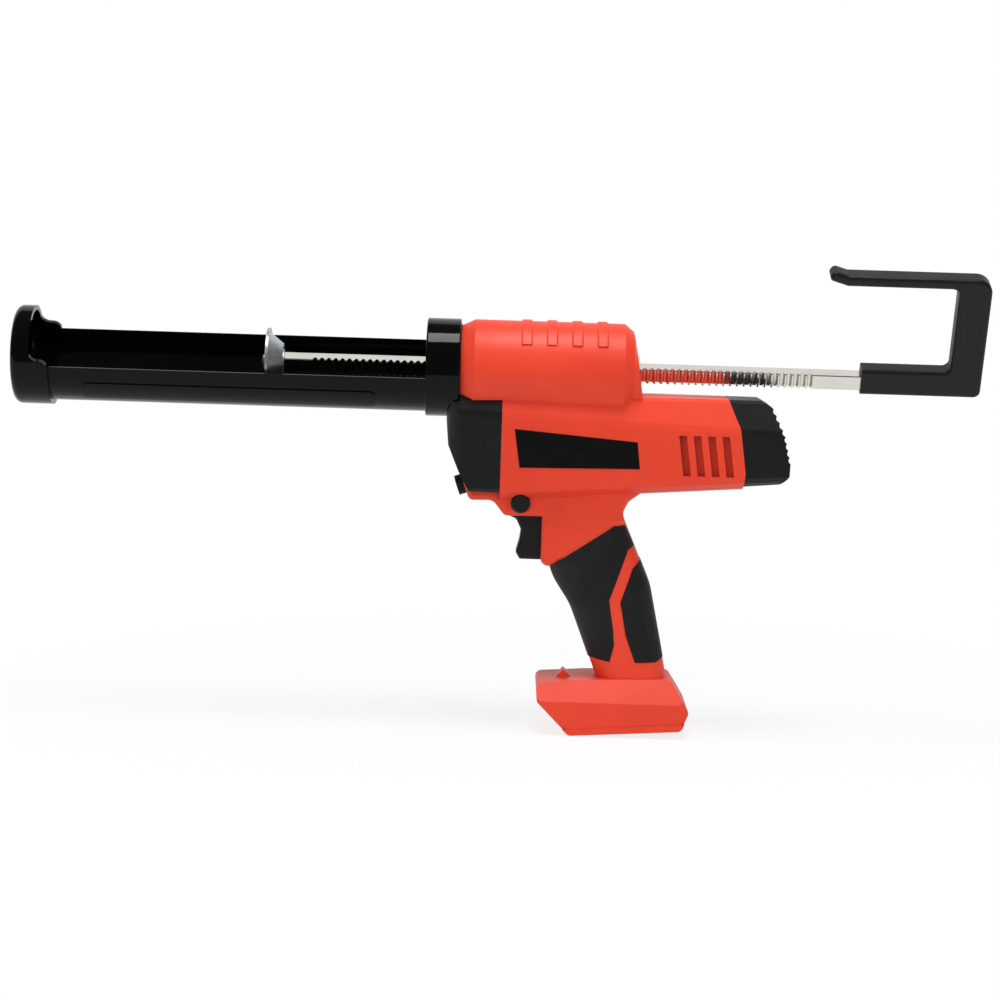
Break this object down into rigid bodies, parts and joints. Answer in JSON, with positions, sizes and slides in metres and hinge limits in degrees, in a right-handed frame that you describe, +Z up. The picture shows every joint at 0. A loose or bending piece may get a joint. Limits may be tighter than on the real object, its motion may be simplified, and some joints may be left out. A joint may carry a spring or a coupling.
{
  "type": "cordless caulking gun",
  "caption": "Cordless caulking gun: pistol-grip drive housing with a toothed push rod and hook handle, and an open half-tube cartridge holder with a front cap.",
  "frame": {"origin": "middle of the battery shoe's underside, on the tool's middle plane", "axes": "+X along the barrel from the nozzle end to the hook, +Y to the operator's right, +Z up"},
  "size_m": [0.562, 0.062, 0.2772],
  "materials": {
    "red_plastic": "satin moulded",
    "black_plastic": "fine grain moulded",
    "grip_rubber": "soft matt",
    "label_face": "gloss",
    "black_paint": "gloss enamel",
    "bright_steel": "ground",
    "zinc": "zinc plated",
    "gear_steel": "machined",
    "cast_alloy": "as cast",
    "bearing_steel": "polished",
    "bush_plastic": "acetal",
    "board_green": "laminate",
    "contact_brass": "stamped"
  },
  "bodies": {
    "housing": {"left_housing_shell": "red_plastic", "right_housing_shell": "red_plastic", "nose_cover": "black_plastic", "motor_end_cap": "black_plastic", "left_front_grip_pad": "grip_rubber", "right_front_grip_pad": "grip_rubber", "left_rear_grip_pad": "grip_rubber", "right_rear_grip_pad": "grip_rubber", "label_plate": "label_face", "housing_screws": "zinc", "barrel_socket": "cast_alloy", "retainer_ring": "zinc", "front_rack_bush": "bush_plastic", "rear_rack_bush": "bush_plastic", "gear_case": "cast_alloy", "bearing_bridge": "cast_alloy", "shaft_bearings": "bearing_steel", "output_bearing": "bearing_steel", "planetary_gearbox": "gear_steel", "motor_can": "gear_steel", "motor_end_bell": "black_plastic", "trigger_switch": "black_plastic", "speed_potentiometer": "gear_steel", "control_board": "board_green", "terminal_block": "black_plastic", "terminal_blades": "contact_brass"},
    "holder": {"front_cap": "black_paint", "cartridge_cradle": "black_paint", "rear_collar": "black_paint"},
    "rod": {"rack": "bright_steel", "push_disc": "zinc", "disc_screw": "zinc", "hook_handle": "black_plastic", "hook_pins": "zinc"},
    "drive": {"pinion_shaft": "gear_steel", "rack_pinion": "gear_steel", "bevel_gear": "gear_steel"},
    "output": {"output_shaft": "gear_steel", "bevel_pinion": "gear_steel"},
    "trigger_body": {"trigger": "black_plastic"},
    "lock": {"lock_button": "black_plastic"},
    "dial": {"speed_dial": "black_plastic"}
  },
  "joints": [
    {"name": "holder_swivel", "type": "hinge", "parent": "housing", "child": "holder", "pos_m": [-0.1098, 0, 0.2082], "axis": [1, 0, 0], "continuous": true},
    {"name": "rack_slide", "type": "slide", "parent": "housing", "child": "rod", "axis": [1, 0, 0], "range_m": [-0.126, 0.086]},
    {"name": "pinion_turn", "type": "hinge", "parent": "housing", "child": "drive", "pos_m": [-0.0606, -0.01178, 0.20325], "axis": [0, -0.3872, 0.922], "continuous": true},
    {"name": "output_turn", "type": "hinge", "parent": "housing", "child": "output", "pos_m": [-0.0606, 0, 0.1752], "axis": [1, 0, 0], "continuous": true},
    {"name": "trigger_pull", "type": "slide", "parent": "housing", "child": "trigger_body", "axis": [1, 0, 0], "range_m": [0, 0.006], "stiffness_N_per_m": 800, "springref_m": -0.004},
    {"name": "lock_slide", "type": "slide", "parent": "housing", "child": "lock", "axis": [0, 1, 0], "range_m": [0, 0.003]},
    {"name": "dial_turn", "type": "hinge", "parent": "housing", "child": "dial", "pos_m": [-0.0954, 0, 0.14067], "axis": [-0.9462, 0, -0.3237], "range_deg": [-135, 135]}
  ],
  "couplings": [
    {"joint": "pinion_turn", "follows": "rack_slide", "rad_per_m": -104.72},
    {"joint": "output_turn", "follows": "rack_slide", "rad_per_m": 209.44}
  ]
}
